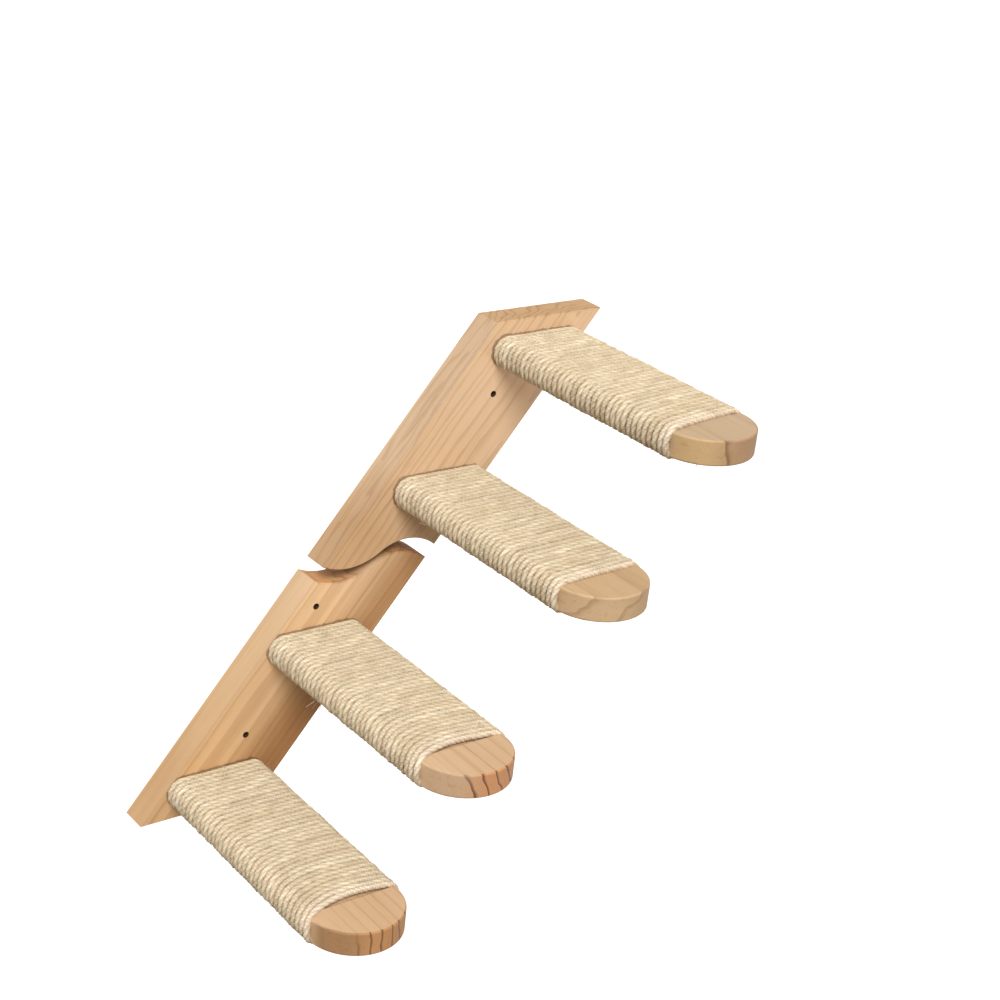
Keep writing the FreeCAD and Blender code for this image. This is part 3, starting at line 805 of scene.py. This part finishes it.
def rope_skin(tree, given, along):
    """The twisted, lobed skin along the route, with each point's unwound place stored on it."""
    marked = stored(tree, given["Route"], "along", along, "FLOAT")
    slack = {"W": along, "Scale": SLACK_SCALE, "Detail": 2.0}
    slack = add(tree, "ShaderNodeTexNoise", slack, noise_dimensions="1D").outputs[0]
    turned = sums(tree, "DIVIDE", sums(tree, "MULTIPLY", along, 2 * math.pi), given["Lay Length"])
    twist = sums(tree, "ADD", turned, sums(tree, "MULTIPLY", slack, SLACK_TWIST))
    marked = stored(tree, marked, "twist", twist, "FLOAT")
    tilted = add(tree, "GeometryNodeSetCurveTilt", {"Curve": marked, "Tilt": named(tree, "twist", "FLOAT")})
    profile = lobed_profile(tree, given["Rope Radius"], given["Groove Radius"])
    sweep = {"Curve": tilted.outputs["Curve"], "Profile Curve": profile, "Fill Caps": True}
    skin = add(tree, "GeometryNodeCurveToMesh", sweep).outputs["Mesh"]
    spin = {"Vector": named(tree, "section", "FLOAT_VECTOR"), "Angle": named(tree, "twist", "FLOAT")}
    section = add(tree, "ShaderNodeVectorRotate", spin, rotation_type="Z_AXIS").outputs["Vector"]
    straight = add(tree, "ShaderNodeCombineXYZ", {"Z": named(tree, "along", "FLOAT")}).outputs["Vector"]
    rope = stored(tree, skin, "unwound", vectors(tree, "ADD", section, straight), "FLOAT_VECTOR")
    return add(tree, "GeometryNodeSetShadeSmooth", {"Geometry": rope}).outputs["Geometry"]


def fuzz(tree, given, rope, fibre):
    """Short fibres all over the skin."""
    sprinkle = {"Mesh": rope, "Density": given["Fibres Per Area"], "Seed": given["Seed"]}
    points = add(tree, "GeometryNodeDistributePointsOnFaces", sprinkle).outputs
    short = sums(tree, "MULTIPLY", given["Fibre Length"], FUZZ_SHORTEST)
    return scattered(tree, points["Points"], points["Rotation"], fibre, FUZZ_LEAN, short, given["Fibre Length"],
                     given["Seed"])


def fray(tree, given, along, fibre):
    """Longer fibres that hang from the rope's ends and from the tuft's place."""
    ends = add(tree, "GeometryNodeCurveEndpointSelection").outputs["Selection"]
    beside = sums(tree, "ABSOLUTE", sums(tree, "SUBTRACT", along, given["Tuft Place"]))
    tuft = sums(tree, "LESS_THAN", beside, TUFT_REACH)
    either = add(tree, "FunctionNodeBooleanMath", {0: ends, 1: tuft}, operation="OR").outputs[0]
    flagged = stored(tree, given["Route"], "rope_end", either, "BOOLEAN")
    points = add(tree, "GeometryNodeCurveToPoints", {"Curve": flagged}, mode="EVALUATED").outputs["Points"]
    others = add(tree, "FunctionNodeBooleanMath", {0: named(tree, "rope_end", "BOOLEAN")}, operation="NOT")
    kept = add(tree, "GeometryNodeDeleteGeometry", {"Geometry": points, "Selection": others.outputs[0]})
    copies = {"Geometry": kept.outputs["Geometry"], "Amount": given["Fray Count"]}
    many = add(tree, "GeometryNodeDuplicateElements", copies, domain="POINT").outputs["Geometry"]
    downward = add(tree, "FunctionNodeEulerToRotation", {0: (math.pi, 0, 0)}).outputs[0]
    short = sums(tree, "MULTIPLY", given["Fray Length"], FRAY_SHORTEST)
    return scattered(tree, many, downward, fibre, FRAY_LEAN, short, given["Fray Length"], given["Seed"])


def rope_tree():
    tree = bpy.data.node_groups.new("laid_sisal_rope", "GeometryNodeTree")
    tree.is_modifier = True
    tree.interface.new_socket("Route", in_out="INPUT", socket_type="NodeSocketGeometry")
    for name, (kind, value) in ROPE_INPUTS.items():
        socket = tree.interface.new_socket(name, in_out="INPUT", socket_type=kind)
        if value is not None:
            socket.default_value = value
    tree.interface.new_socket("Rope", in_out="OUTPUT", socket_type="NodeSocketGeometry")
    given = add(tree, "NodeGroupInput").outputs
    along = add(tree, "GeometryNodeSplineParameter").outputs["Length"]
    rope = rope_skin(tree, given, along)
    fibre = loose_fibre(tree)
    joined = add(tree, "GeometryNodeJoinGeometry")
    for part in (fray(tree, given, along, fibre), fuzz(tree, given, rope, fibre), rope):
        tree.links.new(part, joined.inputs["Geometry"])
    real = add(tree, "GeometryNodeRealizeInstances", {"Geometry": joined.outputs["Geometry"]})
    coat = {"Geometry": real.outputs["Geometry"], "Material": given["Material"]}
    coated = add(tree, "GeometryNodeSetMaterial", coat)
    add(tree, "NodeGroupOutput", {"Rope": coated.outputs["Geometry"]})
    return tree


laid_rope = rope_tree()
print("rope tree with", len(laid_rope.nodes), "nodes")

# %% [markdown]
# ## Winding the treads
#
# Each route becomes a curve, the node tree turns it into rope, and the result is taken over as a plain mesh. The
# mesh stands for the CAD winding, which has fewer, smooth turns. A few fibres hang loose from tread 2's underside.

# %% Winding the treads
TUFTS = {2: 1.98}
NO_TUFT = -1.0


def as_curve(name, points):
    data = bpy.data.curves.new(name, "CURVE")
    data.dimensions = "3D"
    spline = data.splines.new("POLY")
    spline.points.add(len(points) - 1)
    spline.points.foreach_set("co", np.hstack([points, np.ones((len(points), 1))]).ravel())
    curve = bpy.data.objects.new(name, data)
    bpy.context.scene.collection.objects.link(curve)
    return curve


def set_inputs(modifier, **values):
    """Set a node tree modifier's inputs by their sockets' identifiers."""
    sockets = {item.name: item.identifier for item in modifier.node_group.interface.items_tree}
    for name, value in values.items():
        modifier[sockets[name.replace("_", " ")]] = value


def wind(tread):
    curve = as_curve(f"route_{tread}", routes[tread])
    modifier = curve.modifiers.new("laid_rope", "NODES")
    modifier.node_group = laid_rope
    set_inputs(modifier, Seed=tread, Material=sisal_straw, Tuft_Place=TUFTS.get(tread, NO_TUFT))
    depsgraph = bpy.context.evaluated_depsgraph_get()
    mesh = bpy.data.meshes.new_from_object(curve.evaluated_get(depsgraph), preserve_all_data_layers=True,
                                           depsgraph=depsgraph)
    bpy.data.objects.remove(curve)
    mesh.name = f"tread_{tread}_rope"
    rope = bpy.data.objects.new(mesh.name, mesh)
    bpy.context.scene.collection.objects.link(rope)
    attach(rope, "root")
    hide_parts(f"tread_{tread}_sisal_wrap")
    return rope


ropes = [wind(tread) for tread in TREADS]
print("ropes with", [sum(len(p.vertices) - 2 for p in rope.data.polygons) for rope in ropes], "triangles")
